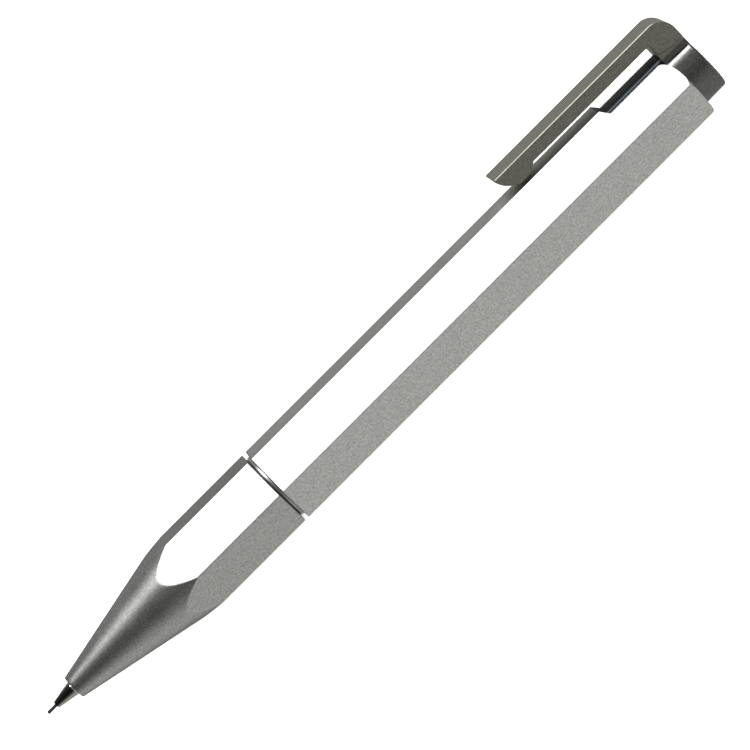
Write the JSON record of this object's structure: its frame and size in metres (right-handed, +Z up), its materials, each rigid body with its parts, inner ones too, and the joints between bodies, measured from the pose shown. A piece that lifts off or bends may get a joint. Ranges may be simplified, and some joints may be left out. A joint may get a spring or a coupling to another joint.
{
  "type": "mechanical pencil",
  "caption": "Hexagonal metal click pencil with a turned cone front, a polished groove ring and a one-piece cap and clip that is pressed to feed a thin lead.",
  "frame": {"origin": "on the flat that the pen lies on, below its axis and halfway between the lead's tip and the cap's top", "axes": "+X along the pen towards the cap, +Z up from the surface it lies on, the clip on the +Y side and 60 degrees from straight up"},
  "size_m": [0.125, 0.0161, 0.0131],
  "materials": {
    "satin_aluminium": "fine bead-blasted and clear anodised",
    "clip_aluminium": "fine bead-blasted and clear anodised, a little darker",
    "polished_ring": "polished",
    "tip_chrome": "polished, turned",
    "graphite": "matt with a slight sheen",
    "stem_steel": "drawn tube",
    "steel": "turned",
    "brass": "turned",
    "rubber": "matt",
    "plastic_white": "moulded",
    "plastic_dark": "moulded",
    "eraser_rubber": "matt vinyl"
  },
  "bodies": {
    "barrel": {"barrel": "satin_aluminium", "nose_section": "satin_aluminium", "joint_bush": "polished_ring", "tip_cone": "tip_chrome", "lead_retainer": "rubber", "clutch_sleeve": "steel", "spring_washer": "steel", "return_spring": "steel", "mechanism_housing": "plastic_white", "housing_ring": "rubber", "lock_ring": "steel", "guide_bush": "plastic_dark"},
    "plunger": {"lead_tube": "plastic_white", "feed_socket": "plastic_white", "chuck": "brass", "spare_leads": "graphite", "eraser_holder": "steel", "eraser": "eraser_rubber"},
    "cap": {"clip_cap": "clip_aluminium", "cap_stem": "stem_steel", "cap_grip": "plastic_dark"},
    "clutch": {"clutch_ring": "brass"},
    "lead": {"lead": "graphite"}
  },
  "joints": [
    {"name": "cap_press", "type": "slide", "parent": "barrel", "child": "plunger", "axis": [-1, 0, 0], "range_m": [0, 0.0034], "stiffness_N_per_m": 400, "springref_m": -0.004, "deforming": ["return_spring"]},
    {"name": "cap_pull", "type": "slide", "parent": "plunger", "child": "cap", "axis": [1, 0, 0], "range_m": [0, 0.025]},
    {"name": "clutch_travel", "type": "slide", "parent": "barrel", "child": "clutch", "axis": [-1, 0, 0], "range_m": [0, 0.0006]},
    {"name": "lead_feed", "type": "slide", "parent": "barrel", "child": "lead", "axis": [-1, 0, 0], "range_m": [0, 0.0006]}
  ],
  "couplings": [
    {"joint": "clutch_travel", "follows": "cap_press", "ratio": 0.17647},
    {"joint": "lead_feed", "follows": "cap_press", "ratio": 0.17647}
  ]
}
